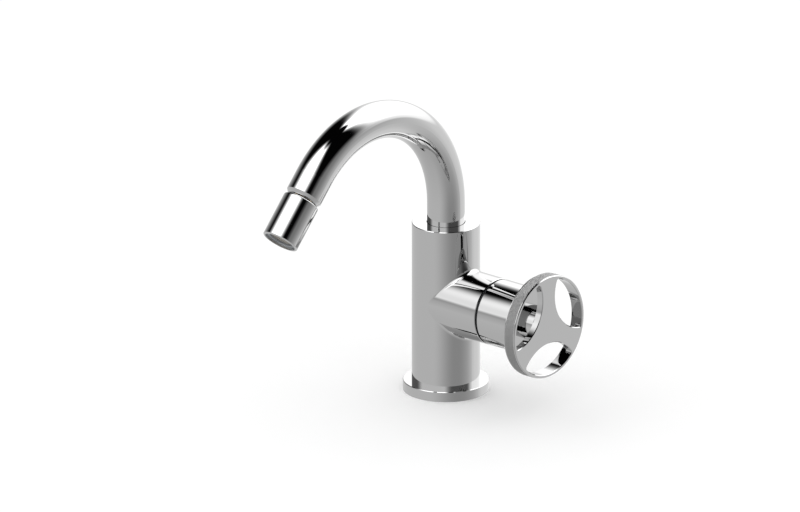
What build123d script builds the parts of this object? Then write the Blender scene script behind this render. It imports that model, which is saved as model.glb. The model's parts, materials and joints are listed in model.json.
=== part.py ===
from build123d import *
from math import asin, cos, degrees, radians, sin, sqrt
import os

# Bidet mixer: a single-hole tap with a swivel spout, a tilting nozzle and a wheel handle.
# Millimetres. The origin is the centre of the base on the deck, +Z is up,
# the spout reaches towards -Y and the handle points along +X.

# Clearances
slip = 0.1  # round a piece that is fixed in its neighbour
running = 0.07  # round a piece that turns in its neighbour
free = 0.3  # between faces that pass each other without touching
overrun = 1.0  # how far a cut runs past the face that it opens

# Body casting and base
body_radius = 20.0
body_top = 103.0
body_bevel = 0.3
base_radius = 25.25
base_ring_width = 8.25
base_height = 6.0
base_bevel = 0.3
gasket_width = 3.8
gasket_thickness = 2.0
inlet_radius = 4.5
inlet_depth = 12.0
stud_hole_radius = 2.5
stud_hole_depth = 15.0
stud_wall = 2.5

# Branch that holds the cartridge
branch_radius = 19.85
branch_end = 39.65
branch_bevel = 0.3
branch_rounding = 2.5

# Waterways between the inlets, the cartridge and the spout
channel_radius = 3.0
port_radius = 2.5
port_spread = 6.5
port_drop = 3.5
port_rise = 6.5

# Cartridge
cartridge_seat = 6.0
cartridge_radius = 12.5
cartridge_wall = 2.0
cartridge_base_length = 5.0
locating_peg_radius = 1.2
locating_peg_length = 2.0
locating_peg_spread = 9.0
port_seal_radius = 3.5
port_seal_thickness = 1.2
disc_thickness = 3.0
disc_port_radius = 2.3
moving_disc_play = 0.9
disc_pocket_rim = 0.8
disc_pocket_depth = 1.6
disc_pocket_offset = 0.8
drive_peg_radius = 1.5
drive_peg_length = 1.2
drive_peg_spread = 5.5
carrier_length = 4.0
stop_lug_width = 3.0
stop_lug_height = 1.4
handle_travel = 110.0
tang_width = 3.0
tang_length = 11.6
tang_depth = 2.3
flange_play = 1.5
flange_length = 3.0
thrust_thickness = 1.5
front_wall_length = 5.0
neck_wall = 2.9
neck_length = 5.5
spindle_radius = 4.5
drive_step = 0.5
drive_flat = 3.2
spindle_ring_section = 0.6
cartridge_ring_section = 0.85

# Nut and glide ring between the branch and the handle
nut_step = 1.6
nut_bore_play = 0.7
nut_head_step = 1.3
nut_head_length = 5.2
glide_ring_length = 5.6

# Handle hub
groove_width = 1.5
hub_radius = 19.75
hub_length = 22.85
hub_wall = 2.0
hub_front_wall = 3.5
hub_bevel = 0.3
hub_boss_wall = 2.4
hub_boss_length = 12.5
insert_radius = 6.5
spindle_tip_gap = 1.3
grub_radius = 2.5
grub_socket_radius = 1.25
grub_socket_depth = 2.2
plug_thickness = 1.7

# Wheel and what fixes it to the hub
wheel_screw_radius = 3.0
wheel_screw_reach = 8.0
screw_head_radius = 5.2
screw_head_length = 2.9
screw_socket_radius = 2.6
screw_socket_depth = 1.8
wheel_pin_radius = 1.5
wheel_pin_half_length = 2.5
wheel_neck_radius = 10.4
wheel_neck_length = 12.1
star_thickness = 4.2
rim_depth = 8.0
rim_width = 1.95
wheel_radius = 30.85
cutout_count = 3
cutout_offset = 35.0
cutout_radius = 24.8
cutout_corner = 1.6
wheel_bevel = 0.4

# Spout tube
tube_radius = 11.1
tube_wall = 1.5
riser_length = 11.75
spout_bend_radius = 67.45
spout_turn = 136.85
tail_length = 12.5

# Swivel in the top of the body
socket_depth = 8.0
socket_shoulder = 1.4
swivel_bore_depth = 29.0
swivel_floor_wall = 5.0
swivel_end_gap = 1.0
swivel_play = 1.0
swivel_wall = 1.4
swivel_plug_length = 11.5
swivel_flange_thickness = 1.5
glide_thickness = 1.0
lower_glide_length = 2.5
lower_glide_depth = 0.5
swivel_ring_section = 0.9
swivel_ring_inset = 2.7
swivel_ring_spacing = 4.0
swivel_half_range = 60.0
retaining_drop = 12.5
retaining_groove_depth = 1.4
retaining_tip_radius = 1.4
retaining_screw_radius = 2.0
retaining_screw_recess = 1.5
retaining_socket_radius = 1.0
retaining_socket_depth = 3.0

# Ball joint at the end of the spout
pivot_inset = 3.0
ball_radius = 6.4
ball_waterway_radius = 2.6
seat_thickness = 0.8
ball_socket_length = 10.0
ball_socket_inlet_radius = 3.2
socket_nut_cone_length = 2.3
socket_nut_end_radius = 9.4
upper_seat_start = 52.0
upper_seat_end = 76.0
lower_seat_start = 100.0
lower_seat_end = 118.0

# Nozzle
nozzle_gap = 0.8
nozzle_radius = 11.1
nozzle_length = 27.8
nozzle_lip_width = 1.2
nozzle_lip_rounding = 1.1
nozzle_wall = 1.5
nozzle_bevel = 0.4
nozzle_mouth_depth = 2.4
nozzle_plate_thickness = 2.5
nozzle_ledge_length = 4.0
nozzle_ledge_width = 1.0
stem_wall = 1.6
stem_collar_width = 1.4
stem_collar_length = 0.7
stem_washer_radius = 6.5
stem_washer_thickness = 0.6
stem_nut_radius = 7.0
stem_nut_length = 2.5
regulator_thickness = 2.5
regulator_hole_radius = 1.0
regulator_hole_count = 8
aerator_washer_width = 1.7
aerator_washer_thickness = 1.8
aerator_recess = 1.5
aerator_wall = 1.3
aerator_ledge_width = 0.6
aerator_ledge_thickness = 1.0
screen_thickness = 0.5
screen_gap = 3.0
mixing_screen_count = 2
mesh_pitch = 1.7
mesh_opening = 1.0
mesh_rows = 7

# Places along the branch axis, from the body's axis outwards
fixed_disc_start = cartridge_seat + cartridge_base_length
moving_disc_start = fixed_disc_start + disc_thickness
carrier_start = moving_disc_start + disc_thickness
flange_start = carrier_start + carrier_length
thrust_start = flange_start + flange_length
front_wall_start = thrust_start + thrust_thickness
nut_start = front_wall_start + front_wall_length
neck_end = nut_start + neck_length
cartridge_ring_place = front_wall_start + front_wall_length / 2
spindle_ring_place = nut_start + neck_length / 2
hub_start = branch_end + groove_width
hub_end = hub_start + hub_length
hub_floor = hub_end - hub_front_wall
hub_boss_start = hub_floor - hub_boss_length
insert_end = hub_floor - screw_head_length - free
insert_length = insert_end - hub_boss_start
grub_place = hub_boss_start + insert_length / 2
star_back = hub_end + wheel_neck_length
wheel_front = star_back + star_thickness

# Places along the body's axis
socket_floor = body_top - socket_depth
swivel_floor = body_top - swivel_bore_depth
swivel_bottom = swivel_floor + swivel_end_gap
flange_bottom = socket_floor + glide_thickness
tube_bottom = flange_bottom + swivel_flange_thickness
riser_top = body_top + riser_length
retaining_height = body_top - retaining_drop
lower_glide_bottom = swivel_bottom + glide_thickness
lower_ring_height = lower_glide_bottom + lower_glide_length + swivel_ring_inset
upper_ring_height = lower_ring_height + swivel_ring_spacing

# Radii that follow from their neighbours
spigot_radius = base_radius - base_ring_width
stud_spread = spigot_radius - stud_wall - stud_hole_radius
gasket_radius = (spigot_radius + base_radius) / 2
cartridge_bore_radius = cartridge_radius + slip
cartridge_cavity_radius = cartridge_radius - cartridge_wall
fixed_disc_radius = cartridge_cavity_radius - slip
moving_disc_radius = cartridge_cavity_radius - moving_disc_play
disc_pocket_radius = moving_disc_radius - disc_pocket_rim
stop_lug_radius = moving_disc_radius + stop_lug_height
flange_radius = cartridge_cavity_radius - flange_play
spindle_bore_radius = spindle_radius + running
drive_radius = spindle_radius - drive_step
neck_radius = spindle_bore_radius + neck_wall
nut_bore_radius = neck_radius + nut_bore_play
nut_thread_radius = cartridge_radius + nut_step
nut_hole_radius = nut_thread_radius + slip
nut_head_radius = nut_thread_radius + nut_head_step
hub_cavity_radius = hub_radius - hub_wall
hub_glide_outer_radius = hub_cavity_radius - running
hub_glide_inner_radius = nut_head_radius + slip
hub_boss_radius = insert_radius + slip + hub_boss_wall
wheel_pin_place = (wheel_screw_radius + wheel_neck_radius) / 2
rim_inner_radius = wheel_radius - rim_width
tube_bore_radius = tube_radius - tube_wall
tube_fit_radius = tube_bore_radius - slip
socket_radius = tube_radius + free
swivel_bore_radius = socket_radius - socket_shoulder
swivel_radius = swivel_bore_radius - swivel_play
lower_glide_seat = swivel_radius - lower_glide_depth
retaining_groove_radius = swivel_radius - retaining_groove_depth
swivel_waterway_radius = retaining_groove_radius - swivel_wall
lower_glide_radius = swivel_bore_radius - running
swivel_ring_radius = swivel_bore_radius - running - swivel_ring_section
nozzle_bore_radius = nozzle_radius - nozzle_wall
nozzle_fit_radius = nozzle_bore_radius - slip
stem_radius = ball_waterway_radius + stem_wall
stem_collar_radius = stem_radius + stem_collar_width

# Height of the branch's axis: a wall of brass is left between the cartridge and the swivel above it
branch_height = swivel_floor - swivel_floor_wall - cartridge_bore_radius

# Ball joint: concentric spheres round the pivot
seat_inner_radius = ball_radius + free
seat_outer_radius = seat_inner_radius + seat_thickness
ball_housing_radius = seat_outer_radius + free

# Places along the nozzle's axis, from the end of the spout tube outwards
nozzle_top = socket_nut_cone_length + nozzle_gap
nozzle_end = nozzle_top + nozzle_length
plate_top = nozzle_top + nozzle_mouth_depth
plate_bottom = plate_top + nozzle_plate_thickness
ledge_bottom = plate_bottom + nozzle_ledge_length
regulator_end = ledge_bottom + regulator_thickness
aerator_start = regulator_end + aerator_washer_thickness
aerator_end = nozzle_end - aerator_recess
aerator_floor = aerator_end - aerator_ledge_thickness
aerator_bore_radius = nozzle_fit_radius - aerator_wall
screen_radius = aerator_bore_radius - slip

# Planes and axes that several pieces share
branch_plane = Plane(origin=(0, 0, branch_height), x_dir=(0, 1, 0), z_dir=(1, 0, 0))
branch_section = Plane(origin=(0, 0, branch_height), x_dir=(1, 0, 0), z_dir=(0, -1, 0))
branch_axis = Axis((0, 0, branch_height), (1, 0, 0))
turn_sine = sin(radians(spout_turn))
turn_cosine = cos(radians(spout_turn))
spout_end = (
    0,
    spout_bend_radius * (turn_cosine - 1) - tail_length * turn_sine,
    riser_top + spout_bend_radius * turn_sine + tail_length * turn_cosine,
)
nozzle_direction = (0, -turn_sine, turn_cosine)
nozzle_axis = Axis(spout_end, nozzle_direction)
nozzle_plane = Plane(origin=spout_end, x_dir=(1, 0, 0), z_dir=nozzle_direction)
nozzle_section = Plane(origin=spout_end, x_dir=(1, 0, 0), z_dir=(0, -turn_cosine, -turn_sine))
retaining_plane = Plane(origin=(0, 0, retaining_height), x_dir=(1, 0, 0), z_dir=(0, 1, 0))

inlet_places = [(0, -port_spread), (0, port_spread)]
port_places = [(-port_spread, -port_drop), (port_spread, -port_drop), (0, port_rise)]
drive_peg_places = [(-drive_peg_spread, 0), (drive_peg_spread, 0)]
locating_peg_places = [(-locating_peg_spread, port_drop), (locating_peg_spread, port_drop)]


def ball_point(radius, polar):
    """Return a point of the nozzle's section, at a polar angle from the joint's upper pole."""
    angle = radians(polar)
    return (radius * sin(angle), -pivot_inset - radius * cos(angle))


def ball_arc(radius, start, end):
    """Draw an arc round the pivot, in the nozzle's section, between two polar angles."""
    ThreePointArc(
        ball_point(radius, start),
        ball_point(radius, (start + end) / 2),
        ball_point(radius, end),
    )


def draw_seat(start, end):
    """Draw the section of a ball seat between two polar angles."""
    ball_arc(seat_outer_radius, start, end)
    Line(ball_point(seat_outer_radius, end), ball_point(seat_inner_radius, end))
    ball_arc(seat_inner_radius, end, start)
    Line(ball_point(seat_inner_radius, start), ball_point(seat_outer_radius, start))


def draw_mesh():
    """Draw a round screen with its grid of openings."""
    Circle(screen_radius)
    with GridLocations(mesh_pitch, mesh_pitch, mesh_rows, mesh_rows):
        Rectangle(mesh_opening, mesh_opening, mode=Mode.SUBTRACT)


os.makedirs("parts", exist_ok=True)

# Body casting: one brass column with the branch, the waterways and the sockets
with BuildPart() as body_casting:
    with BuildSketch():
        Circle(spigot_radius)
    extrude(amount=base_height)
    with BuildSketch(Plane.XY.offset(base_height)):
        Circle(body_radius)
    extrude(amount=body_top - base_height)
    with BuildSketch(branch_plane):
        Circle(branch_radius)
    extrude(amount=branch_end)
    # The only free-form edges yet are the ones where the branch meets the column
    fillet(body_casting.edges().filter_by(GeomType.BSPLINE), branch_rounding)
    outer_rims = [
        body_casting.edges().filter_by(GeomType.CIRCLE).group_by(Axis.Z)[-1].sort_by(SortBy.RADIUS)[-1],
        body_casting.edges().filter_by(GeomType.CIRCLE).group_by(Axis.X)[-1].sort_by(SortBy.RADIUS)[-1],
    ]
    chamfer(outer_rims[0], body_bevel)
    chamfer(outer_rims[1], branch_bevel)
    with BuildSketch(branch_plane.offset(cartridge_seat)):
        Circle(cartridge_bore_radius)
    extrude(amount=nut_start - cartridge_seat, mode=Mode.SUBTRACT)
    with BuildSketch(branch_plane.offset(nut_start)):
        Circle(nut_hole_radius)
    extrude(amount=branch_end - nut_start + overrun, mode=Mode.SUBTRACT)
    with BuildSketch(branch_plane):
        with Locations(port_places):
            Circle(port_radius)
    extrude(amount=cartridge_seat, mode=Mode.SUBTRACT)
    with BuildSketch(branch_plane.offset(cartridge_seat)):
        with Locations(locating_peg_places):
            Circle(locating_peg_radius + slip)
    extrude(amount=-locating_peg_length - slip, mode=Mode.SUBTRACT)
    with BuildSketch():
        with Locations(inlet_places):
            Circle(inlet_radius)
    extrude(amount=inlet_depth, mode=Mode.SUBTRACT)
    with BuildSketch(Plane.XY.offset(inlet_depth)):
        with Locations(inlet_places):
            Circle(channel_radius)
    extrude(amount=branch_height - port_drop + channel_radius - inlet_depth, mode=Mode.SUBTRACT)
    with BuildSketch():
        with Locations((-stud_spread, 0), (stud_spread, 0)):
            Circle(stud_hole_radius)
    extrude(amount=stud_hole_depth, mode=Mode.SUBTRACT)
    outlet_bottom = branch_height + port_rise - channel_radius
    with BuildSketch(Plane.XY.offset(outlet_bottom)):
        Circle(channel_radius)
    extrude(amount=swivel_floor - outlet_bottom, mode=Mode.SUBTRACT)
    with BuildSketch(Plane.XY.offset(swivel_floor)):
        Circle(swivel_bore_radius)
    extrude(amount=socket_floor - swivel_floor, mode=Mode.SUBTRACT)
    with BuildSketch(Plane.XY.offset(socket_floor)):
        Circle(socket_radius)
    extrude(amount=socket_depth + overrun, mode=Mode.SUBTRACT)
    with BuildSketch(retaining_plane):
        Circle(retaining_screw_radius + slip)
    extrude(amount=body_radius + overrun, mode=Mode.SUBTRACT)
body_casting.part.label = "body_casting"
export_step(body_casting.part, "parts/body_casting.step")

# Base ring: slips over the spigot and carries the body's shoulder
with BuildPart() as base_ring:
    with BuildSketch():
        Circle(base_radius)
        Circle(spigot_radius + slip, mode=Mode.SUBTRACT)
    extrude(amount=base_height)
    with BuildSketch():
        Circle(gasket_radius + gasket_width / 2 + slip)
        Circle(gasket_radius - gasket_width / 2 - slip, mode=Mode.SUBTRACT)
    extrude(amount=gasket_thickness, mode=Mode.SUBTRACT)
    chamfer(base_ring.edges().group_by(Axis.Z)[-1].sort_by(SortBy.RADIUS)[-1], base_bevel)
base_ring.part.label = "base_ring"
export_step(base_ring.part, "parts/base_ring.step")

# Base gasket: rubber, pressed flush into the groove under the base ring
with BuildPart() as base_gasket:
    with BuildSketch():
        Circle(gasket_radius + gasket_width / 2)
        Circle(gasket_radius - gasket_width / 2, mode=Mode.SUBTRACT)
    extrude(amount=gasket_thickness)
base_gasket.part.label = "base_gasket"
export_step(base_gasket.part, "parts/base_gasket.step")

# Cartridge base: seats against the casting on two pegs and holds the port seals
with BuildPart() as cartridge_base:
    with BuildSketch(branch_plane.offset(cartridge_seat)):
        Circle(cartridge_radius)
        with Locations(port_places):
            Circle(port_radius, mode=Mode.SUBTRACT)
    extrude(amount=cartridge_base_length)
    with BuildSketch(branch_plane.offset(cartridge_seat)):
        with Locations(port_places):
            Circle(port_seal_radius + slip)
    extrude(amount=port_seal_thickness, mode=Mode.SUBTRACT)
    with BuildSketch(branch_plane.offset(cartridge_seat)):
        with Locations(locating_peg_places):
            Circle(locating_peg_radius)
    extrude(amount=-locating_peg_length)
cartridge_base.part.label = "cartridge_base"
export_step(cartridge_base.part, "parts/cartridge_base.step")

# Port seals: three rubber rings between the casting and the cartridge
with BuildPart() as port_seals:
    with BuildSketch(branch_plane.offset(cartridge_seat)):
        with Locations(port_places):
            Circle(port_seal_radius)
            Circle(port_radius, mode=Mode.SUBTRACT)
    extrude(amount=port_seal_thickness)
port_seals.part.label = "port_seals"
export_step(port_seals.part, "parts/port_seals.step")

# Fixed disc: ceramic, with one hole for each port
with BuildPart() as fixed_disc:
    with BuildSketch(branch_plane.offset(fixed_disc_start)):
        Circle(fixed_disc_radius)
        with Locations(port_places):
            Circle(disc_port_radius, mode=Mode.SUBTRACT)
    extrude(amount=disc_thickness)
fixed_disc.part.label = "fixed_disc"
export_step(fixed_disc.part, "parts/fixed_disc.step")

# Cartridge housing: moulded cup with a neck that guides the spindle and a recess for the stop lug
lug_margin = degrees(asin((stop_lug_width / 2 + free) / moving_disc_radius))
recess_half_angle = handle_travel / 2 + lug_margin
recess_start_plane = branch_section.rotated((180 - recess_half_angle, 0, 0))
with BuildPart() as cartridge_housing:
    with BuildSketch(branch_plane.offset(fixed_disc_start)):
        Circle(cartridge_radius)
    extrude(amount=nut_start - fixed_disc_start)
    with BuildSketch(branch_plane.offset(nut_start)):
        Circle(neck_radius)
    extrude(amount=neck_length)
    with BuildSketch(branch_plane.offset(fixed_disc_start)):
        Circle(cartridge_cavity_radius)
    extrude(amount=front_wall_start - fixed_disc_start, mode=Mode.SUBTRACT)
    with BuildSketch(branch_plane.offset(front_wall_start)):
        Circle(spindle_bore_radius)
    extrude(amount=neck_end - front_wall_start, mode=Mode.SUBTRACT)
    with BuildSketch(branch_plane.offset(cartridge_ring_place - cartridge_ring_section - slip)):
        Circle(cartridge_radius + overrun)
        Circle(cartridge_bore_radius - 2 * cartridge_ring_section - slip, mode=Mode.SUBTRACT)
    extrude(amount=2 * (cartridge_ring_section + slip), mode=Mode.SUBTRACT)
    with BuildSketch(recess_start_plane):
        with Locations(((fixed_disc_start + flange_start) / 2, (stop_lug_radius + free) / 2)):
            Rectangle(flange_start - fixed_disc_start, stop_lug_radius + free)
    revolve(axis=branch_axis, revolution_arc=2 * recess_half_angle, mode=Mode.SUBTRACT)
cartridge_housing.part.label = "cartridge_housing"
export_step(cartridge_housing.part, "parts/cartridge_housing.step")

# Cartridge O-ring: seals the housing in the casting's bore
with BuildPart() as cartridge_o_ring:
    with BuildSketch(branch_section):
        with Locations((cartridge_ring_place, cartridge_bore_radius - cartridge_ring_section - slip / 2)):
            Circle(cartridge_ring_section)
    revolve(axis=branch_axis)
cartridge_o_ring.part.label = "cartridge_o_ring"
export_step(cartridge_o_ring.part, "parts/cartridge_o_ring.step")

# Moving disc: ceramic, with the pocket that joins the ports as it turns
with BuildPart() as moving_disc:
    with BuildSketch(branch_plane.offset(moving_disc_start)):
        Circle(moving_disc_radius)
    extrude(amount=disc_thickness)
    with BuildSketch(branch_plane.offset(moving_disc_start)):
        Circle(disc_pocket_radius)
        with Locations((0, disc_pocket_offset - disc_pocket_radius)):
            Rectangle(2 * disc_pocket_radius, 2 * disc_pocket_radius, mode=Mode.SUBTRACT)
    extrude(amount=disc_pocket_depth, mode=Mode.SUBTRACT)
    with BuildSketch(branch_plane.offset(carrier_start)):
        with Locations(drive_peg_places):
            Circle(drive_peg_radius + slip)
    extrude(amount=-drive_peg_length - slip, mode=Mode.SUBTRACT)
moving_disc.part.label = "moving_disc"
export_step(moving_disc.part, "parts/moving_disc.step")

# Disc carrier: two pegs drive the moving disc, a slot takes the spindle's tang,
# and a lug in the housing's recess stops the handle at both ends
with BuildPart() as disc_carrier:
    with BuildSketch(branch_plane.offset(carrier_start)):
        Circle(moving_disc_radius)
        with PolarLocations(moving_disc_radius, 1, start_angle=-90 - handle_travel / 2):
            Rectangle(2 * stop_lug_height, stop_lug_width)
    extrude(amount=carrier_length)
    with BuildSketch(branch_plane.offset(carrier_start)):
        with Locations(drive_peg_places):
            Circle(drive_peg_radius)
    extrude(amount=-drive_peg_length)
    with BuildSketch(branch_plane.offset(flange_start)):
        Rectangle(tang_length + 2 * slip, tang_width + 2 * slip)
    extrude(amount=-tang_depth - slip, mode=Mode.SUBTRACT)
disc_carrier.part.label = "disc_carrier"
export_step(disc_carrier.part, "parts/disc_carrier.step")

# Cartridge spindle: tang, flange, round shank with a ring groove and a flattened drive end
spindle_tip = insert_end - spindle_tip_gap
with BuildPart() as cartridge_spindle:
    with BuildSketch(branch_plane.offset(flange_start - tang_depth)):
        Rectangle(tang_length, tang_width)
    extrude(amount=tang_depth)
    with BuildSketch(branch_plane.offset(flange_start)):
        Circle(flange_radius)
    extrude(amount=flange_length)
    with BuildSketch(branch_plane.offset(thrust_start)):
        Circle(spindle_radius)
    extrude(amount=neck_end - thrust_start)
    with BuildSketch(branch_plane.offset(neck_end)):
        Circle(drive_radius)
        Rectangle(2 * drive_radius, 2 * drive_flat, mode=Mode.INTERSECT)
    extrude(amount=spindle_tip - neck_end)
    with BuildSketch(branch_plane.offset(spindle_ring_place - spindle_ring_section - slip)):
        Circle(spindle_radius + overrun)
        Circle(spindle_radius - 2 * spindle_ring_section - slip / 2, mode=Mode.SUBTRACT)
    extrude(amount=2 * (spindle_ring_section + slip), mode=Mode.SUBTRACT)
cartridge_spindle.part.label = "cartridge_spindle"
export_step(cartridge_spindle.part, "parts/cartridge_spindle.step")

# Thrust washer: slides between the spindle's flange and the housing's front wall
with BuildPart() as thrust_washer:
    with BuildSketch(branch_plane.offset(thrust_start)):
        Circle(flange_radius)
        Circle(spindle_radius + slip, mode=Mode.SUBTRACT)
    extrude(amount=thrust_thickness)
thrust_washer.part.label = "thrust_washer"
export_step(thrust_washer.part, "parts/thrust_washer.step")

# Spindle O-ring: seals the shank in the housing's neck
with BuildPart() as spindle_o_ring:
    with BuildSketch(branch_section):
        with Locations((spindle_ring_place, spindle_radius - spindle_ring_section)):
            Circle(spindle_ring_section)
    revolve(axis=branch_axis)
spindle_o_ring.part.label = "spindle_o_ring"
export_step(spindle_o_ring.part, "parts/spindle_o_ring.step")

# Cartridge nut: threaded skirt in the branch and a hexagon head under the handle
with BuildPart() as cartridge_nut:
    with BuildSketch(branch_plane.offset(nut_start)):
        Circle(nut_thread_radius)
    extrude(amount=branch_end - nut_start)
    with BuildSketch(branch_plane.offset(branch_end)):
        RegularPolygon(nut_head_radius, 6)
    extrude(amount=nut_head_length)
    with BuildSketch(branch_plane.offset(nut_start)):
        Circle(nut_bore_radius)
    extrude(amount=branch_end + nut_head_length - nut_start, mode=Mode.SUBTRACT)
cartridge_nut.part.label = "cartridge_nut"
export_step(cartridge_nut.part, "parts/cartridge_nut.step")

# Hub glide ring: stands on the branch and guides the open end of the hub
with BuildPart() as hub_glide_ring:
    with BuildSketch(branch_plane.offset(branch_end)):
        Circle(hub_glide_outer_radius)
        Circle(hub_glide_inner_radius, mode=Mode.SUBTRACT)
    extrude(amount=glide_ring_length)
hub_glide_ring.part.label = "hub_glide_ring"
export_step(hub_glide_ring.part, "parts/hub_glide_ring.step")

# Handle hub: a deep cup whose inner boss grips the spindle
grub_plane = Plane(origin=(grub_place, 0, branch_height), x_dir=(1, 0, 0), z_dir=(0, 0, -1))
with BuildPart() as handle_hub:
    with BuildSketch(branch_plane.offset(hub_start)):
        Circle(hub_radius)
    extrude(amount=hub_length)
    chamfer(handle_hub.edges().filter_by(GeomType.CIRCLE), hub_bevel)
    with BuildSketch(branch_plane.offset(hub_start)):
        Circle(hub_cavity_radius)
    extrude(amount=hub_floor - hub_start, mode=Mode.SUBTRACT)
    with BuildSketch(branch_plane.offset(hub_boss_start)):
        Circle(hub_boss_radius)
        Circle(insert_radius + slip, mode=Mode.SUBTRACT)
    extrude(amount=hub_boss_length)
    with BuildSketch(branch_plane.offset(hub_floor)):
        Circle(wheel_screw_radius + slip)
    extrude(amount=hub_front_wall, mode=Mode.SUBTRACT)
    with BuildSketch(branch_plane.offset(hub_end)):
        with Locations((0, wheel_pin_place)):
            Circle(wheel_pin_radius + slip)
    extrude(amount=-wheel_pin_half_length - slip, mode=Mode.SUBTRACT)
    with BuildSketch(grub_plane.offset(insert_radius - overrun)):
        Circle(grub_radius + slip)
    extrude(amount=hub_radius - insert_radius + 2 * overrun, mode=Mode.SUBTRACT)
handle_hub.part.label = "handle_hub"
export_step(handle_hub.part, "parts/handle_hub.step")

# Hub insert: moulded bush between the hub's boss and the spindle's flats
with BuildPart() as hub_insert:
    with BuildSketch(branch_plane.offset(hub_boss_start)):
        Circle(insert_radius)
    extrude(amount=insert_length)
    with BuildSketch(branch_plane.offset(hub_boss_start)):
        Circle(drive_radius + slip)
        Rectangle(2 * (drive_radius + slip), 2 * (drive_flat + slip), mode=Mode.INTERSECT)
    extrude(amount=insert_length, mode=Mode.SUBTRACT)
    with BuildSketch(grub_plane):
        Circle(grub_radius + slip)
    extrude(amount=insert_radius + overrun, mode=Mode.SUBTRACT)
hub_insert.part.label = "hub_insert"
export_step(hub_insert.part, "parts/hub_insert.step")

# Handle grub screw: bears on the spindle's lower flat
with BuildPart() as handle_grub_screw:
    with BuildSketch(grub_plane.offset(drive_flat + slip)):
        Circle(grub_radius)
    extrude(amount=hub_boss_radius - drive_flat - slip)
    with BuildSketch(grub_plane.offset(hub_boss_radius)):
        RegularPolygon(grub_socket_radius, 6)
    extrude(amount=-grub_socket_depth, mode=Mode.SUBTRACT)
handle_grub_screw.part.label = "handle_grub_screw"
export_step(handle_grub_screw.part, "parts/handle_grub_screw.step")

# Grub screw plug: a small cap flush in the hub's wall, below the screw
with BuildPart() as grub_screw_plug:
    with BuildSketch(grub_plane.offset(hub_radius - hub_wall)):
        Circle(grub_radius)
    extrude(amount=plug_thickness)
grub_screw_plug.part.label = "grub_screw_plug"
export_step(grub_screw_plug.part, "parts/grub_screw_plug.step")

# Wheel screw: pulls the wheel onto the hub from inside
with BuildPart() as wheel_screw:
    with BuildSketch(branch_plane.offset(hub_floor)):
        Circle(screw_head_radius)
    extrude(amount=-screw_head_length)
    with BuildSketch(branch_plane.offset(hub_floor)):
        Circle(wheel_screw_radius)
    extrude(amount=hub_front_wall + wheel_screw_reach)
    with BuildSketch(branch_plane.offset(hub_floor - screw_head_length)):
        RegularPolygon(screw_socket_radius, 6)
    extrude(amount=screw_socket_depth, mode=Mode.SUBTRACT)
wheel_screw.part.label = "wheel_screw"
export_step(wheel_screw.part, "parts/wheel_screw.step")

# Wheel pin: keeps the wheel from turning on the hub
with BuildPart() as wheel_pin:
    with BuildSketch(branch_plane.offset(hub_end - wheel_pin_half_length)):
        with Locations((0, wheel_pin_place)):
            Circle(wheel_pin_radius)
    extrude(amount=2 * wheel_pin_half_length)
wheel_pin.part.label = "wheel_pin"
export_step(wheel_pin.part, "parts/wheel_pin.step")

# Wheel: neck, flat three-armed star and deeper rim in one piece
with BuildPart() as wheel:
    with BuildSketch(branch_plane.offset(wheel_front)):
        Circle(wheel_radius)
    extrude(amount=-rim_depth)
    with BuildSketch(branch_plane.offset(star_back)):
        Circle(rim_inner_radius)
    extrude(amount=-rim_depth, mode=Mode.SUBTRACT)
    with BuildSketch(branch_plane.offset(wheel_front)) as cutouts:
        with PolarLocations(cutout_offset, cutout_count, start_angle=-90):
            Circle(cutout_radius)
        Circle(rim_inner_radius, mode=Mode.INTERSECT)
        fillet(cutouts.vertices(), cutout_corner)
    extrude(amount=-rim_depth, mode=Mode.SUBTRACT)
    chamfer(wheel.faces().sort_by(Axis.X)[-1].edges(), wheel_bevel)
    with BuildSketch(branch_plane.offset(hub_end)):
        Circle(wheel_neck_radius)
    extrude(amount=wheel_neck_length)
    with BuildSketch(branch_plane.offset(hub_end)):
        Circle(wheel_screw_radius + slip)
    extrude(amount=wheel_screw_reach + slip, mode=Mode.SUBTRACT)
    with BuildSketch(branch_plane.offset(hub_end)):
        with Locations((0, wheel_pin_place)):
            Circle(wheel_pin_radius + slip)
    extrude(amount=wheel_pin_half_length + slip, mode=Mode.SUBTRACT)
wheel.part.label = "wheel"
export_step(wheel.part, "parts/wheel.step")

# Spout tube: straight riser, one wide bend and a short straight tail
with BuildPart() as spout_tube:
    with BuildLine(Plane.YZ) as spout_path:
        riser = Line((0, tube_bottom), (0, riser_top))
        bend = JernArc(start=riser @ 1, tangent=riser % 1, radius=spout_bend_radius, arc_size=spout_turn)
        PolarLine(start=bend @ 1, length=tail_length, direction=bend % 1)
    with BuildSketch(Plane.XY.offset(tube_bottom)):
        Circle(tube_radius)
        Circle(tube_bore_radius, mode=Mode.SUBTRACT)
    sweep(path=spout_path.wire())
spout_tube.part.label = "spout_tube"
export_step(spout_tube.part, "parts/spout_tube.step")

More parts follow.
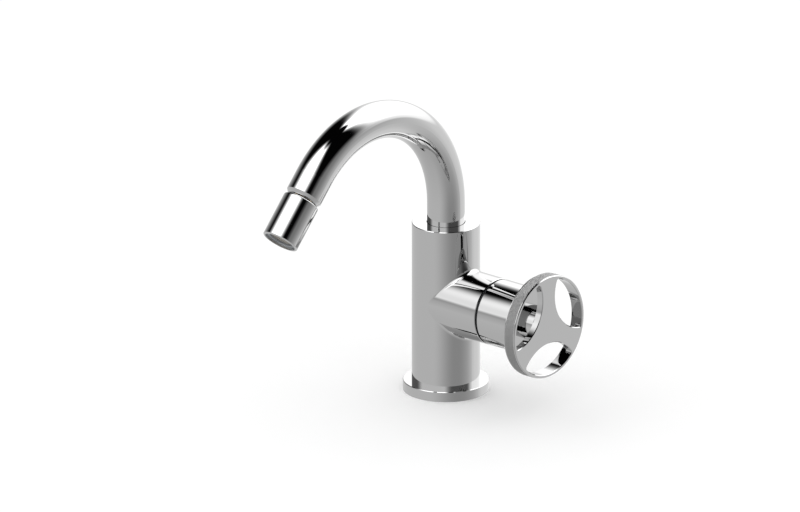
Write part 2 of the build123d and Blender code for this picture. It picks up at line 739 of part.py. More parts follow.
# Spout swivel: plug brazed into the tube, flange under it and the tail that turns in the body
stop_half_angle = swivel_half_range + degrees(asin((retaining_tip_radius + free) / retaining_groove_radius))
groove_start_plane = Plane.XZ.rotated((0, 0, 90 - stop_half_angle))
with BuildPart() as spout_swivel:
    with BuildSketch(Plane.XY.offset(swivel_bottom)):
        Circle(swivel_radius)
    extrude(amount=flange_bottom - swivel_bottom)
    with BuildSketch(Plane.XY.offset(flange_bottom)):
        Circle(tube_radius)
    extrude(amount=swivel_flange_thickness)
    with BuildSketch(Plane.XY.offset(tube_bottom)):
        Circle(tube_fit_radius)
    extrude(amount=swivel_plug_length)
    with BuildSketch(Plane.XY.offset(swivel_bottom)):
        Circle(swivel_waterway_radius)
    extrude(amount=tube_bottom + swivel_plug_length - swivel_bottom, mode=Mode.SUBTRACT)
    with BuildSketch(Plane.XZ):
        with Locations((swivel_radius, lower_glide_bottom + lower_glide_length / 2)):
            Rectangle(2 * (swivel_radius - lower_glide_seat), lower_glide_length + 2 * slip)
        with Locations((swivel_ring_radius, lower_ring_height), (swivel_ring_radius, upper_ring_height)):
            Rectangle(2 * (swivel_ring_section + slip), 2 * (swivel_ring_section + slip))
    revolve(axis=Axis.Z, mode=Mode.SUBTRACT)
    with BuildSketch(groove_start_plane):
        with Locations(((retaining_groove_radius + swivel_bore_radius) / 2, retaining_height)):
            Rectangle(swivel_bore_radius - retaining_groove_radius, 2 * (retaining_tip_radius + free))
    revolve(axis=Axis.Z, revolution_arc=2 * stop_half_angle, mode=Mode.SUBTRACT)
spout_swivel.part.label = "spout_swivel"
export_step(spout_swivel.part, "parts/spout_swivel.step")

# Swivel O-rings: two seals between the tail and the body's bore
with BuildPart() as swivel_o_rings:
    with BuildSketch(Plane.XZ):
        with Locations((swivel_ring_radius, lower_ring_height), (swivel_ring_radius, upper_ring_height)):
            Circle(swivel_ring_section)
    revolve(axis=Axis.Z)
swivel_o_rings.part.label = "swivel_o_rings"
export_step(swivel_o_rings.part, "parts/swivel_o_rings.step")

# Lower glide ring: split ring in the tail's groove that centres it in the bore
with BuildPart() as lower_glide_ring:
    with BuildSketch(Plane.XY.offset(lower_glide_bottom)):
        Circle(lower_glide_radius)
        Circle(lower_glide_seat + slip / 2, mode=Mode.SUBTRACT)
    extrude(amount=lower_glide_length)
lower_glide_ring.part.label = "lower_glide_ring"
export_step(lower_glide_ring.part, "parts/lower_glide_ring.step")

# Upper glide ring: carries the spout's weight on the shoulder of the body's socket
with BuildPart() as upper_glide_ring:
    with BuildSketch(Plane.XY.offset(socket_floor)):
        Circle(tube_radius)
        Circle(swivel_radius + free, mode=Mode.SUBTRACT)
    extrude(amount=glide_thickness)
upper_glide_ring.part.label = "upper_glide_ring"
export_step(upper_glide_ring.part, "parts/upper_glide_ring.step")

# Spout retaining screw: its tip stands in the tail's groove and stops the swivel at both ends
screw_shoulder = swivel_bore_radius + free
screw_tip = retaining_groove_radius + free
screw_back = body_radius - retaining_screw_recess
with BuildPart() as spout_retaining_screw:
    with BuildSketch(retaining_plane.offset(screw_tip)):
        Circle(retaining_tip_radius)
    extrude(amount=screw_shoulder - screw_tip)
    with BuildSketch(retaining_plane.offset(screw_shoulder)):
        Circle(retaining_screw_radius)
    extrude(amount=screw_back - screw_shoulder)
    with BuildSketch(retaining_plane.offset(screw_back)):
        RegularPolygon(retaining_socket_radius, 6)
    extrude(amount=-retaining_socket_depth, mode=Mode.SUBTRACT)
spout_retaining_screw.part.label = "spout_retaining_screw"
export_step(spout_retaining_screw.part, "parts/spout_retaining_screw.step")

# Ball socket: upper half of the joint's housing, fixed inside the end of the tube
inlet_polar = degrees(asin(ball_socket_inlet_radius / ball_housing_radius))
with BuildPart() as ball_socket:
    with BuildSketch(nozzle_section):
        with BuildLine():
            ball_arc(ball_housing_radius, inlet_polar, 90)
            Polyline(
                ball_point(ball_housing_radius, 90),
                (tube_fit_radius, -pivot_inset),
                (tube_fit_radius, -pivot_inset - ball_socket_length),
                (ball_socket_inlet_radius, -pivot_inset - ball_socket_length),
                ball_point(ball_housing_radius, inlet_polar),
            )
        make_face()
    revolve(axis=nozzle_axis)
ball_socket.part.label = "ball_socket"
export_step(ball_socket.part, "parts/ball_socket.step")

# Socket nut: lower half of the housing, with the cone that shows at the end of the tube
mouth_drop = pivot_inset + socket_nut_cone_length
mouth_polar = 180 - degrees(asin(sqrt(ball_housing_radius**2 - mouth_drop**2) / ball_housing_radius))
with BuildPart() as socket_nut:
    with BuildSketch(nozzle_section):
        with BuildLine():
            ball_arc(ball_housing_radius, 90, mouth_polar)
            Polyline(
                ball_point(ball_housing_radius, mouth_polar),
                (socket_nut_end_radius, socket_nut_cone_length),
                (tube_radius, 0),
                (tube_fit_radius, 0),
                (tube_fit_radius, -pivot_inset),
                ball_point(ball_housing_radius, 90),
            )
        make_face()
    revolve(axis=nozzle_axis)
socket_nut.part.label = "socket_nut"
export_step(socket_nut.part, "parts/socket_nut.step")

# Upper ball seat: plastic ring that slides between the ball and its housing, above the pivot
with BuildPart() as upper_ball_seat:
    with BuildSketch(nozzle_section):
        with BuildLine():
            draw_seat(upper_seat_start, upper_seat_end)
        make_face()
    revolve(axis=nozzle_axis)
upper_ball_seat.part.label = "upper_ball_seat"
export_step(upper_ball_seat.part, "parts/upper_ball_seat.step")

# Lower ball seat: the same kind of ring below the pivot
with BuildPart() as lower_ball_seat:
    with BuildSketch(nozzle_section):
        with BuildLine():
            draw_seat(lower_seat_start, lower_seat_end)
        make_face()
    revolve(axis=nozzle_axis)
lower_ball_seat.part.label = "lower_ball_seat"
export_step(lower_ball_seat.part, "parts/lower_ball_seat.step")

# Ball stem: hollow ball with the threaded stem that carries the nozzle
waterway_polar = degrees(asin(ball_waterway_radius / ball_radius))
stem_polar = 180 - degrees(asin(stem_radius / ball_radius))
collar_bottom = plate_top - stem_washer_thickness
collar_top = collar_bottom - stem_collar_length
stem_end = plate_bottom + stem_nut_length + slip
with BuildPart() as ball_stem:
    with BuildSketch(nozzle_section):
        with BuildLine():
            ball_arc(ball_radius, waterway_polar, stem_polar)
            Polyline(
                ball_point(ball_radius, stem_polar),
                (stem_radius, collar_top),
                (stem_collar_radius, collar_top),
                (stem_collar_radius, collar_bottom),
                (stem_radius, collar_bottom),
                (stem_radius, stem_end),
                (ball_waterway_radius, stem_end),
                ball_point(ball_radius, waterway_polar),
            )
        make_face()
    revolve(axis=nozzle_axis)
ball_stem.part.label = "ball_stem"
export_step(ball_stem.part, "parts/ball_stem.step")

# Stem washer: fibre washer between the stem's collar and the nozzle's plate
with BuildPart() as stem_washer:
    with BuildSketch(nozzle_plane.offset(collar_bottom)):
        Circle(stem_washer_radius)
        Circle(stem_radius + slip, mode=Mode.SUBTRACT)
    extrude(amount=stem_washer_thickness)
stem_washer.part.label = "stem_washer"
export_step(stem_washer.part, "parts/stem_washer.step")

# Nozzle shell: the outer sleeve, with the plate that the stem is bolted through
with BuildPart() as nozzle_shell:
    with BuildSketch(nozzle_plane.offset(nozzle_top)):
        Circle(nozzle_radius)
    extrude(amount=nozzle_length)
    nozzle_rims = nozzle_shell.edges().filter_by(GeomType.CIRCLE).sort_by(nozzle_axis)
    fillet(nozzle_rims[0], nozzle_lip_rounding)
    chamfer(nozzle_rims[-1], nozzle_bevel)
    with BuildSketch(nozzle_plane.offset(nozzle_top)):
        Circle(nozzle_radius - nozzle_lip_width)
    extrude(amount=nozzle_mouth_depth, mode=Mode.SUBTRACT)
    with BuildSketch(nozzle_plane.offset(plate_top)):
        Circle(stem_radius + slip)
    extrude(amount=nozzle_plate_thickness, mode=Mode.SUBTRACT)
    with BuildSketch(nozzle_plane.offset(plate_bottom)):
        Circle(nozzle_bore_radius - nozzle_ledge_width)
    extrude(amount=nozzle_ledge_length, mode=Mode.SUBTRACT)
    with BuildSketch(nozzle_plane.offset(ledge_bottom)):
        Circle(nozzle_bore_radius)
    extrude(amount=nozzle_end - ledge_bottom, mode=Mode.SUBTRACT)
nozzle_shell.part.label = "nozzle_shell"
export_step(nozzle_shell.part, "parts/nozzle_shell.step")

# Stem nut: locks the stem under the nozzle's plate
with BuildPart() as stem_nut:
    with BuildSketch(nozzle_plane.offset(plate_bottom)):
        RegularPolygon(stem_nut_radius, 6)
        Circle(stem_radius + slip, mode=Mode.SUBTRACT)
    extrude(amount=stem_nut_length)
stem_nut.part.label = "stem_nut"
export_step(stem_nut.part, "parts/stem_nut.step")

# Flow regulator: moulded disc with a ring of holes, on the shell's ledge
with BuildPart() as flow_regulator:
    with BuildSketch(nozzle_plane.offset(ledge_bottom)):
        Circle(nozzle_fit_radius)
        with PolarLocations(nozzle_fit_radius / 2, regulator_hole_count):
            Circle(regulator_hole_radius, mode=Mode.SUBTRACT)
    extrude(amount=regulator_thickness)
flow_regulator.part.label = "flow_regulator"
export_step(flow_regulator.part, "parts/flow_regulator.step")

# Aerator washer: rubber ring between the regulator and the aerator
with BuildPart() as aerator_washer:
    with BuildSketch(nozzle_plane.offset(regulator_end)):
        Circle(nozzle_fit_radius)
        Circle(nozzle_fit_radius - aerator_washer_width, mode=Mode.SUBTRACT)
    extrude(amount=aerator_washer_thickness)
aerator_washer.part.label = "aerator_washer"
export_step(aerator_washer.part, "parts/aerator_washer.step")

# Aerator housing: moulded sleeve with a ledge for the outlet screen
with BuildPart() as aerator_housing:
    with BuildSketch(nozzle_plane.offset(aerator_start)):
        Circle(nozzle_fit_radius)
    extrude(amount=aerator_end - aerator_start)
    with BuildSketch(nozzle_plane.offset(aerator_start)):
        Circle(aerator_bore_radius)
    extrude(amount=aerator_floor - aerator_start, mode=Mode.SUBTRACT)
    with BuildSketch(nozzle_plane.offset(aerator_floor)):
        Circle(aerator_bore_radius - aerator_ledge_width)
    extrude(amount=aerator_ledge_thickness, mode=Mode.SUBTRACT)
aerator_housing.part.label = "aerator_housing"
export_step(aerator_housing.part, "parts/aerator_housing.step")

# Outlet screen: fine mesh on the aerator's ledge, seen from below
outlet_screen_top = aerator_floor - screen_thickness
with BuildPart() as outlet_screen:
    with BuildSketch(nozzle_plane.offset(outlet_screen_top)):
        draw_mesh()
    extrude(amount=screen_thickness)
outlet_screen.part.label = "outlet_screen"
export_step(outlet_screen.part, "parts/outlet_screen.step")

# Mixing screens: two more of the same mesh, higher in the aerator
with BuildPart() as mixing_screens:
    for screen in range(mixing_screen_count):
        screen_top = outlet_screen_top - (screen + 1) * (screen_gap + screen_thickness)
        with BuildSketch(nozzle_plane.offset(screen_top)):
            draw_mesh()
        extrude(amount=screen_thickness)
mixing_screens.part.label = "mixing_screens"
export_step(mixing_screens.part, "parts/mixing_screens.step")
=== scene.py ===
import json
from math import cos, pi, radians, sin, sqrt

import bmesh
import bpy
from mathutils import Matrix, Vector


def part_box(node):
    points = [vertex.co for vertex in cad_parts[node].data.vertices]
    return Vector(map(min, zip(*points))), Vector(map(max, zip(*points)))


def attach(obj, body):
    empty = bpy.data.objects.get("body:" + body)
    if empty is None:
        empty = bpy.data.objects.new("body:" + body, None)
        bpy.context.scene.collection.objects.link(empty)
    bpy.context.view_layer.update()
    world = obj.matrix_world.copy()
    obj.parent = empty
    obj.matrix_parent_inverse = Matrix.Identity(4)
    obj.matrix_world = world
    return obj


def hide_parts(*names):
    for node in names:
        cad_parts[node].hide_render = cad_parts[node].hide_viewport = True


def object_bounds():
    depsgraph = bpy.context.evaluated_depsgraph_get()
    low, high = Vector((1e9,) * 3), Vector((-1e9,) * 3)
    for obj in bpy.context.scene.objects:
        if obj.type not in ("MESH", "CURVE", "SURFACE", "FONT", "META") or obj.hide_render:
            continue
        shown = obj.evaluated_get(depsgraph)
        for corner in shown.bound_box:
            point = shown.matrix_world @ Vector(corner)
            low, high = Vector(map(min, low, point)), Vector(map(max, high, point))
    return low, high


bl_info = {
    "name": "Bidet mixer looks",
    "version": (1, 0, 0),
    "blender": (4, 5, 0),
    "location": "3D View > Sidebar > Mixer",
    "description": "Finishes of the bidet mixer, its knurl and outlet screen, the studio and the camera",
    "category": "Object",
}

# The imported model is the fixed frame: metres, origin at the centre of the base, spout towards -Y
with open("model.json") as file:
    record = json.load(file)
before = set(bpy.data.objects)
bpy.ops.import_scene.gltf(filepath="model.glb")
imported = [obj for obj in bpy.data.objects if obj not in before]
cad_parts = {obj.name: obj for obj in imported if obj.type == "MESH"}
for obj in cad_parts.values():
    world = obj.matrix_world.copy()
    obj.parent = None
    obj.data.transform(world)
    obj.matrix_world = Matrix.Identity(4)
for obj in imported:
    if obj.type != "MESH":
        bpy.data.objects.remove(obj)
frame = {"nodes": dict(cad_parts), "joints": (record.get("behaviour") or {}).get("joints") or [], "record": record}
cad_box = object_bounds()

MM = 0.001

# The joints whose axes the turned pieces were turned about
joints = {joint["name"]: joint for joint in frame["joints"]}
TURNED_ABOUT = {
    "cartridge_nut": "handle_turn",
    "cartridge_spindle": "handle_turn",
    "spout_swivel": "spout_swing",
    "ball_socket": "nozzle_spin",
    "ball_stem": "nozzle_spin",
    "stem_nut": "nozzle_spin",
}

# The camera that the photograph was fitted to. It sees without perspective, and BASE_PIXEL is where the
# middle of the base lies in the photograph's frame
CAMERA_AZIMUTH = 41.445
CAMERA_ELEVATION = 19.565
CAMERA_DISTANCE = 1.0
CAMERA_REACH = 10.0
PIXELS_PER_MM = 1.7135
PHOTO_WIDTH = 800
PHOTO_HEIGHT = 512
BASE_PIXEL = (445.987, 387.665)

# The room that the chrome mirrors: its tones by degrees above the horizon, its two windows, and its
# lighter and darker parts. Turn is counted in degrees from +X towards +Y, and a blur is half the width
# of a soft edge. A window has a share of its light at the bottom and all of it from full_at upwards
ROOM_TONES = ((-90, "#CECECE"), (-15, "#E1E1E1"), (-1, "#D1D1D1"), (23, "#4F4F4F"), (29, "#060606"))
WINDOWS = (
    {"from": -150, "to": -41, "side_blur": 16, "bottom": 8, "bottom_blur": 4, "top": 78, "top_blur": 5,
     "share_at_bottom": 0.52, "full_at": 65},
    {"from": 39, "to": 137, "side_blur": 12, "bottom": 3, "bottom_blur": 3, "top": 75, "top_blur": 2,
     "share_at_bottom": 0.32, "full_at": 31},
)
PATCHES = (
    {"colour": "#FFFFFF", "from": 46, "to": 132, "side_blur": 21, "bottom": -67, "bottom_blur": 26,
     "top": 51, "top_blur": 6},
    {"colour": "#8F8F8F", "from": -57, "to": 32, "side_blur": 39, "bottom": -41, "bottom_blur": 60,
     "top": 14, "top_blur": 1},
)

# The soft boxes: their place from the mixer's middle and their width in metres, and their light in watts
LAMPS = (
    {"name": "key_soft_box", "offset": (-0.9, -1.0, 1.3), "width": 1.2, "power": 2.0},
    {"name": "fill_soft_box", "offset": (1.2, -0.3, 1.0), "width": 1.0, "power": 1.0},
)

# The world's strength where it is seen, which is white, and as plain light on the mixer and the floor
WORLD_SEEN = 1.0
WORLD_LIGHT = 0.99

# The floor lies this far below the gasket. The floor and the room of cards have this many sides
FLOOR_GAP = 0.1 * MM
STUDIO_SIDES = 96
FLOOR_HAZE = 0.9

# Noise hardly ever leaves these two values
NOISE_LOW = 0.3
NOISE_HIGH = 0.7

# The buffed plate's clearest spots have a third of the haze of its dullest. On the knurl the haze is more
# even. Moulded pieces change their shade over a few grains, and their shine over a few millimetres
POLISH_SPREAD = 3
KNURL_HAZE_SPREAD = 0.1
SHADE_GRAINS = 4
SHINE_LUMP_MM = 3.0

# The knurl's grooves lie just above the rim's side, and the band's two ends dip into the rim
KNURL_LIFT = 0.02 * MM
KNURL_DIP = 0.2 * MM

# The screen: flat sides of a wire, short runs round the rim, bends of a wire across one opening, and the
# rim's thickness in wires
WIRE_SIDES = 6
RIM_RUNS = 60
BENDS_PER_OPENING = 4
RIM_WIRES = 2


def linear(hex_colour):
    """Turn an sRGB hex colour into Blender's linear red, green, blue and alpha."""
    channels = [int(hex_colour[i:i + 2], 16) / 255 for i in (1, 3, 5)]
    return tuple(c / 12.92 if c <= 0.04045 else ((c + 0.055) / 1.055) ** 2.4 for c in channels) + (1.0,)


def add_node(tree, kind, sockets=None, **settings):
    """Add a node, set its settings, and give each named input a value or a link."""
    node = tree.nodes.new(kind)
    for name, value in settings.items():
        setattr(node, name, value)
    for name, value in (sockets or {}).items():
        if isinstance(value, bpy.types.NodeSocket):
            tree.links.new(value, node.inputs[name])
        else:
            node.inputs[name].default_value = value
    return node


def start_material(name):
    """Make an empty node material and return it."""
    material = bpy.data.materials.new(name)
    material.use_nodes = True
    material.node_tree.nodes.clear()
    return material


def mottle(tree, lump_mm, low=0.0, high=1.0, detail=2.0):
    """Return soft noise with lumps of a real size, whose value runs from low to high."""
    place = add_node(tree, "ShaderNodeTexCoord").outputs["Object"]
    noise = add_node(
        tree, "ShaderNodeTexNoise", {"Vector": place, "Scale": 1 / (lump_mm * MM), "Detail": detail}
    )
    return add_node(
        tree,
        "ShaderNodeMapRange",
        {
            "Value": noise.outputs["Fac"],
            "From Min": NOISE_LOW,
            "From Max": NOISE_HIGH,
            "To Min": low,
            "To Max": high,
        },
    ).outputs["Result"]


def patchy(tree, colour, darkest, lump_mm):
    """Return a colour in soft patches of a real size, the darkest with a share of its brightness."""
    bright = tuple(colour)
    dark = tuple(value * darkest for value in bright[:3]) + (1.0,)
    return add_node(
        tree, "ShaderNodeMix", {0: mottle(tree, lump_mm), 6: bright, 7: dark}, data_type="RGBA"
    ).outputs[2]


def turning_marks(tree, joint, pitch_mm):
    """Return fine rings round a joint's axis, from 0 to 1, as a lathe tool leaves them."""
    place = add_node(tree, "ShaderNodeTexCoord").outputs["Object"]
    from_axis = add_node(
        tree, "ShaderNodeVectorMath", {0: place, 1: joint["pos_m"]}, operation="SUBTRACT"
    ).outputs[0]
    along, across = (
        add_node(tree, "ShaderNodeVectorMath", {0: from_axis, 1: joint["axis"]}, operation=product)
        for product in ("DOT_PRODUCT", "CROSS_PRODUCT")
    )
    away = add_node(tree, "ShaderNodeVectorMath", {0: across.outputs[0]}, operation="LENGTH")
    path = add_node(tree, "ShaderNodeMath", {0: along.outputs["Value"], 1: away.outputs["Value"]})
    turns = add_node(
        tree, "ShaderNodeMath", {0: path.outputs[0], 1: 2 * pi / (pitch_mm * MM)}, operation="MULTIPLY"
    )
    wave = add_node(tree, "ShaderNodeMath", {0: turns.outputs[0]}, operation="SINE")
    marks = add_node(tree, "ShaderNodeMapRange", {"Value": wave.outputs[0], "From Min": -1.0})
    return marks.outputs["Result"]


def close_surface(tree, height, relief_mm, sockets):
    """Add the surface shader with its relief and join it to the material's output."""
    bump = add_node(tree, "ShaderNodeBump", {"Height": height, "Distance": relief_mm * MM})
    shader = add_node(tree, "ShaderNodeBsdfPrincipled", {**sockets, "Normal": bump.outputs["Normal"]})
    add_node(tree, "ShaderNodeOutputMaterial", {"Surface": shader.outputs["BSDF"]})


def nodes_of(slot):
    """Return the names of the CAD pieces that the record gives to a slot."""
    return [row["node"] for row in frame["record"]["subparts"] if row["material_slot"] == slot]


def dress(names, material):
    """Put a material on the named CAD pieces."""
    if not names:
        raise RuntimeError("No piece takes the material " + material.name)
    for name in names:
        for holder in frame["nodes"][name].material_slots:
            holder.material = material


def link_mesh(name, mesh_maker):
    """Turn a finished bmesh into an object of the scene and return it."""
    mesh = bpy.data.meshes.new(name)
    mesh_maker.to_mesh(mesh)
    mesh_maker.free()
    piece = bpy.data.objects.new(name, mesh)
    bpy.context.scene.collection.objects.link(piece)
    return piece


def sweep_wire(maker, path, thickness, up, closed=False):
    """Sweep a round wire along a path that lies nearly square to the up direction."""
    radius = thickness / 2
    turns = [2 * pi * corner / WIRE_SIDES for corner in range(WIRE_SIDES)]
    rings = []
    for index, point in enumerate(path):
        if closed:
            before, after = path[index - 1], path[(index + 1) % len(path)]
        else:
            before, after = path[max(index - 1, 0)], path[min(index + 1, len(path) - 1)]
        along = (after - before).normalized()
        side = along.cross(up).normalized()
        lift = side.cross(along)
        corners = [point + (side * cos(turn) + lift * sin(turn)) * radius for turn in turns]
        rings.append([maker.verts.new(corner) for corner in corners])
    following = rings[1:] + rings[:1] if closed else rings[1:]
    for ring, other in zip(rings, following):
        for corner in range(WIRE_SIDES):
            face = maker.faces.new((ring[corner - 1], ring[corner], other[corner], other[corner - 1]))
            face.smooth = True
    if not closed:
        maker.faces.new(rings[0])
        maker.faces.new(reversed(rings[-1]))


def aim(lamp, place, towards):
    """Put a lamp at a place and turn it towards a point."""
    lamp.location = place
    lamp.rotation_euler = (Vector(towards) - Vector(place)).to_track_quat("-Z", "Y").to_euler()


class ChromeSettings(bpy.types.PropertyGroup):
    """The plated pieces that show."""

    plate: bpy.props.FloatVectorProperty(
        name="Plate",
        description="Colour of the chromium plate",
        subtype="COLOR",
        size=4,
        min=0.0,
        max=1.0,
        default=linear("#C5C5C5"),
    )
    haze: bpy.props.FloatProperty(
        name="Haze",
        description="Roughness where the polish is dullest",
        default=0.045,
        min=0.0,
        max=1.0,
    )


class KnurlSettings(bpy.types.PropertyGroup):
    """The knurled side of the wheel's rim."""

    width: bpy.props.FloatProperty(
        name="Knurl width",
        description="Width of the knurled band",
        default=6.6 * MM,
        min=0.0,
        unit="LENGTH",
    )
    from_front: bpy.props.FloatProperty(
        name="Knurl from the front",
        description="Plain edge between the wheel's front and the knurled band",
        default=0.9 * MM,
        min=0.0,
        unit="LENGTH",
    )
    pitch: bpy.props.FloatProperty(
        name="Knurl pitch",
        description="Distance from one point of the knurl to the next, round the rim",
        default=1.0 * MM,
        min=0.2 * MM,
        unit="LENGTH",
    )
    height: bpy.props.FloatProperty(
        name="Knurl height",
        description="Height of the knurl's points above its grooves",
        default=0.15 * MM,
        min=0.0,
        unit="LENGTH",
    )
    haze: bpy.props.FloatProperty(
        name="Knurl haze",
        description="Roughness of the plate on the knurl",
        default=0.55,
        min=0.0,
        max=1.0,
    )
    # Painted shade: the knurl's plate colour is darker than the buffed plate's, to stand in for the shade in its
    # grooves
    plate: bpy.props.FloatVectorProperty(
        name="Knurl plate",
        description="Colour of the plate on the knurl, darker because its grooves lose light",
        subtype="COLOR",
        size=4,
        min=0.0,
        max=1.0,
        default=linear("#9D9D9D"),
    )


class ScreenSettings(bpy.types.PropertyGroup):
    """The woven screen in the nozzle's outlet."""

    wire: bpy.props.FloatProperty(
        name="Wire",
        description="Thickness of the screen's wire",
        default=0.24 * MM,
        min=0.05 * MM,
        unit="LENGTH",
    )
    mesh_pitch: bpy.props.FloatProperty(
        name="Wire pitch",
        description="Distance from one wire to the next",
        default=0.68 * MM,
        min=0.1 * MM,
        unit="LENGTH",
    )


class MetalSettings(bpy.types.PropertyGroup):
    """The bare metals inside."""

    brass: bpy.props.FloatVectorProperty(
        name="Brass",
        description="Colour of the turned brass",
        subtype="COLOR",
        size=4,
        min=0.0,
        max=1.0,
        default=linear("#CDAA63"),
    )
    steel: bpy.props.FloatVectorProperty(
        name="Stainless steel",
        description="Colour of the screws, the pin and the screens",
        subtype="COLOR",
        size=4,
        min=0.0,
        max=1.0,
        default=linear("#BDB9B2"),
    )


class PolymerSettings(bpy.types.PropertyGroup):
    """The rubber, the plastics, the fibre and the ceramic."""

    rubber: bpy.props.FloatVectorProperty(
        name="Rubber",
        description="Colour of the gasket, the rings and the seals",
        subtype="COLOR",
        size=4,
        min=0.0,
        max=1.0,
        default=linear("#242425"),
    )
    white_plastic: bpy.props.FloatVectorProperty(
        name="White plastic",
        description="Colour of the cartridge's case, the seats and the glide rings",
        subtype="COLOR",
        size=4,
        min=0.0,
        max=1.0,
        default=linear("#E8E5DD"),
    )
    dark_plastic: bpy.props.FloatVectorProperty(
        name="Dark plastic",
        description="Colour of the ring under the hub and of the plug over its screw",
        subtype="COLOR",
        size=4,
        min=0.0,
        max=1.0,
        default=linear("#303134"),
    )
    grey_plastic: bpy.props.FloatVectorProperty(
        name="Grey plastic",
        description="Colour of the aerator's case and of the flow regulator",
        subtype="COLOR",
        size=4,
        min=0.0,
        max=1.0,
        default=linear("#8A8D90"),
    )
    fibre: bpy.props.FloatVectorProperty(
        name="Fibre",
        description="Colour of the fibre washer",
        subtype="COLOR",
        size=4,
        min=0.0,
        max=1.0,
        default=linear("#8C4A34"),
    )
    ceramic: bpy.props.FloatVectorProperty(
        name="Ceramic",
        description="Colour of the two discs",
        subtype="COLOR",
        size=4,
        min=0.0,
        max=1.0,
        default=linear("#EFEBE2"),
    )


class StudioSettings(bpy.types.PropertyGroup):
    """The floor, the lamps and the cards round the mixer."""

    floor: bpy.props.FloatVectorProperty(
        name="Floor",
        description="Colour of the floor",
        subtype="COLOR",
        size=4,
        min=0.0,
        max=1.0,
        default=linear("#FFFFFF"),
    )
    floor_radius: bpy.props.FloatProperty(
        name="Floor radius",
        description="Radius of the floor",
        default=4.0,
        min=0.5,
        unit="LENGTH",
    )
    room_radius: bpy.props.FloatProperty(
        name="Room radius",
        description="Distance of the cards that the chrome mirrors",
        default=3.0,
        min=1.0,
        unit="LENGTH",
    )
    card_light: bpy.props.FloatProperty(
        name="Card light",
        description="Brightness of the two windows that the chrome mirrors",
        default=2.8,
        min=0.0,
    )


class MIXER_OT_chrome(bpy.types.Operator):
    """Plate the casting, the rings, the wheel, the hub, the spout and the nozzle with chrome."""

    bl_idname = "mixer.chrome"
    bl_label = "Chrome plate"

    def execute(self, context):
        settings = context.scene.mixer_chrome
        # Chromium plate on brass, buffed to a mirror: it is bright, hard-edged and almost without haze
        material = start_material("chromium_plate_buffed")
        tree = material.node_tree
        haze = mottle(tree, lump_mm=6.0, low=settings.haze / POLISH_SPREAD, high=settings.haze)
        # Buffing leaves the brass very slightly wavy, too little to bend the lines that it mirrors
        wave = mottle(tree, lump_mm=14.0, detail=1.0)
        close_surface(
            tree,
            height=wave,
            relief_mm=0.002,
            sockets={"Base Color": tuple(settings.plate), "Metallic": 1.0, "Roughness": haze},
        )
        dress(nodes_of("chrome"), material)
        return {"FINISHED"}


class MIXER_OT_knurl(bpy.types.Operator):
    """Put the fine diamond knurl on the side of the wheel's rim."""

    bl_idname = "mixer.knurl"
    bl_label = "Knurled rim"

    def execute(self, context):
        settings = context.scene.mixer_knurl
        low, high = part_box("wheel")
        radius = (high.y - low.y) / 2
        axis_height = joints["handle_turn"]["pos_m"][2]
        steps = 2 * round(2 * pi * radius / settings.pitch)
        rows = 2 * round(settings.width / settings.pitch)
        # The outermost rows dip into the rim, so that the band has no open edge
        rows_up = [-KNURL_DIP] + [KNURL_LIFT] * (rows + 1) + [-KNURL_DIP]
        places = [0] + [row / rows for row in range(rows + 1)] + [1]
        maker = bmesh.new()
        grid = []
        for row, (place, up) in enumerate(zip(places, rows_up)):
            inside = 1 < row < rows + 1
            line = []
            for step in range(steps):
                point = inside and (row + step) % 2 == 0
                away = radius + up + (settings.height if point else 0)
                turn = 2 * pi * step / steps
                x = high.x - settings.from_front - place * settings.width
                line.append(maker.verts.new((x, away * cos(turn), axis_height + away * sin(turn))))
            grid.append(line)
        # Each small square is split along its groove, which gives the points their four flat sides
        for row in range(len(grid) - 1):
            for step in range(steps):
                a, b = grid[row][step - 1], grid[row][step]
                c, d = grid[row + 1][step], grid[row + 1][step - 1]
                if (row + step) % 2 == 0:
                    maker.faces.new((a, b, c))
                    maker.faces.new((a, c, d))
                else:
                    maker.faces.new((a, b, d))
                    maker.faces.new((b, c, d))
        bmesh.ops.recalc_face_normals(maker, faces=maker.faces)
        piece = link_mesh("wheel_rim_knurl", maker)
        # Chromium plate on rolled knurling, whose grooves the buffing doesn't reach: the rim's side looks pale
        # grey and finely speckled, and mirrors nothing.
        # Its colour is darker than the buffed plate's, which is painted shade for the light that the grooves lose
        material = start_material("chromium_plate_on_knurled_brass_with_painted_groove_shade")
        tree = material.node_tree
        haze = mottle(
            tree,
            lump_mm=3.0,
            low=settings.haze * (1 - KNURL_HAZE_SPREAD),
            high=settings.haze * (1 + KNURL_HAZE_SPREAD),
        )
        close_surface(
            tree,
            height=mottle(tree, lump_mm=0.4),
            relief_mm=0.004,
            sockets={"Base Color": tuple(settings.plate), "Metallic": 1.0, "Roughness": haze},
        )
        piece.data.materials.append(material)
        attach(piece, "handle")
        return {"FINISHED"}


